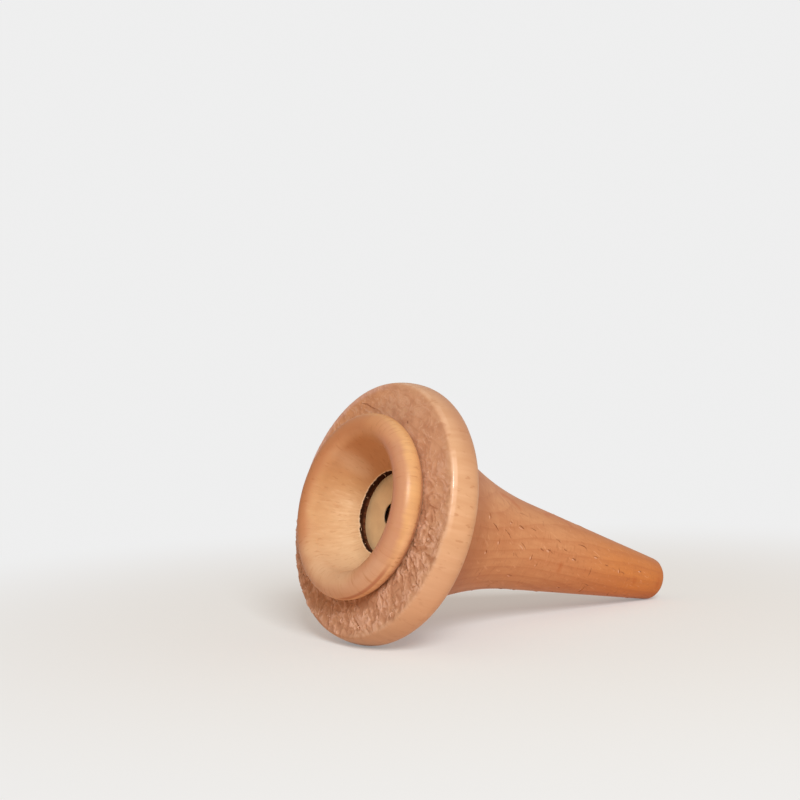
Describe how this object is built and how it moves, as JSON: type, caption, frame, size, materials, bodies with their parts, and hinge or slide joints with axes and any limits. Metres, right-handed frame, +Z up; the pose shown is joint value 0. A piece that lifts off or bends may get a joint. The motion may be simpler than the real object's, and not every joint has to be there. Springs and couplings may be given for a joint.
{
  "type": "bird call",
  "caption": "Turned wooden bird call: a flared horn with a round flange, a raised lip cup in its wide end, brass whistle plates behind the cup and a bore out through the narrow end.",
  "frame": {"origin": "centre of the call's footprint, on the surface that it lies on", "axes": "+X towards the narrow end, +Z up; the call lies on its side, touching at the flange's edge and at the narrow end, so its own axis dips 15.89 degrees below +X and the mouth faces -X and slightly up"},
  "size_m": [0.0744, 0.044, 0.0427],
  "materials": {
    "horn_wood": "turned beech, sanded and thinly waxed, with rough end grain on the flange's front face",
    "cup_wood": "turned beech, smooth, satin",
    "plate_brass": "dull, aged sheet brass",
    "ring_wood": "plain turned beech"
  },
  "bodies": {
    "root": {"horn_body": "horn_wood", "mouth_cup": "cup_wood", "front_plate": "plate_brass", "spacer_ring": "ring_wood", "rear_plate": "plate_brass"}
  },
  "joints": []
}
